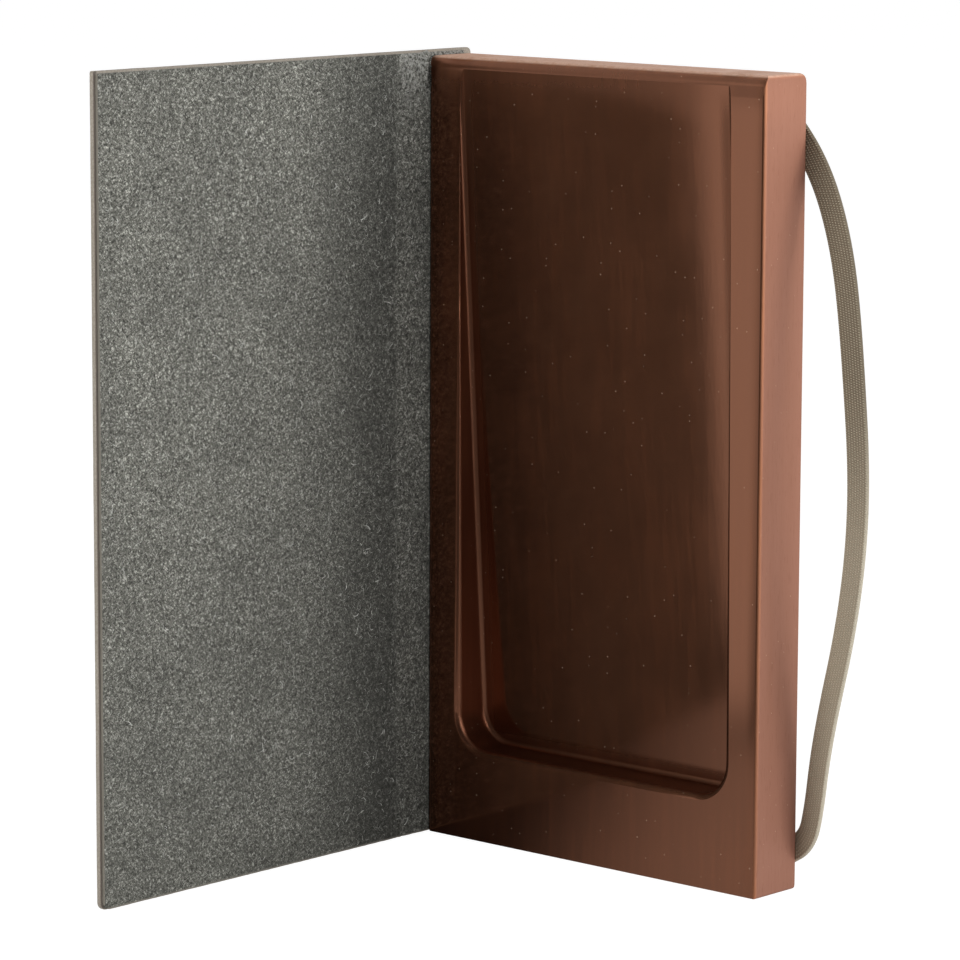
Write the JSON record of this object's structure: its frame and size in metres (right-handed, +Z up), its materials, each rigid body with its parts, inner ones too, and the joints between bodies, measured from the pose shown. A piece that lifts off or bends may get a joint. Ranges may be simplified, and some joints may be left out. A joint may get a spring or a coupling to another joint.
{
  "type": "guest check presenter",
  "caption": "Wooden guest check presenter: tray block with a sloped recess, a leather cover that folds over it and an elastic closure loop at its side.",
  "frame": {"origin": "middle of the block's bottom face, on the surface that it stands on", "axes": "+Z up along the block's height, +X to the right along its front, and its front faces -Y"},
  "size_m": [0.1319, 0.136, 0.2054],
  "materials": {
    "stained_wood": "dark brown stain, satin lacquer, lighter where it wears",
    "cover_leather": "matt taupe, fine grain, raw cut edges",
    "cover_lining": "matt grey fibre, mottled",
    "elastic": "matt taupe braided elastic",
    "screw_steel": "zinc-plated, slightly dull"
  },
  "bodies": {
    "tray": {"tray_block": "stained_wood", "spine_skin": "cover_leather", "spine_lining": "cover_lining", "elastic_tab_top": "elastic", "elastic_tab_bottom": "elastic", "elastic_screw_top": "screw_steel", "elastic_screw_bottom": "screw_steel"},
    "cover": {"panel_skin": "cover_leather", "panel_lining": "cover_lining"},
    "closure": {"elastic_loop": "elastic"}
  },
  "joints": [
    {"name": "cover_fold", "type": "hinge", "parent": "tray", "child": "cover", "pos_m": [-0.056, -0.00955, 0.1], "axis": [0, 0, 1], "range_deg": [-90, 90]},
    {"name": "elastic_flip", "type": "hinge", "parent": "tray", "child": "closure", "pos_m": [0.0525, 0.0099, 0.1], "axis": [0, 0, 1], "range_deg": [0, 180], "stiffness_Nm_per_rad": 0.0004}
  ]
}
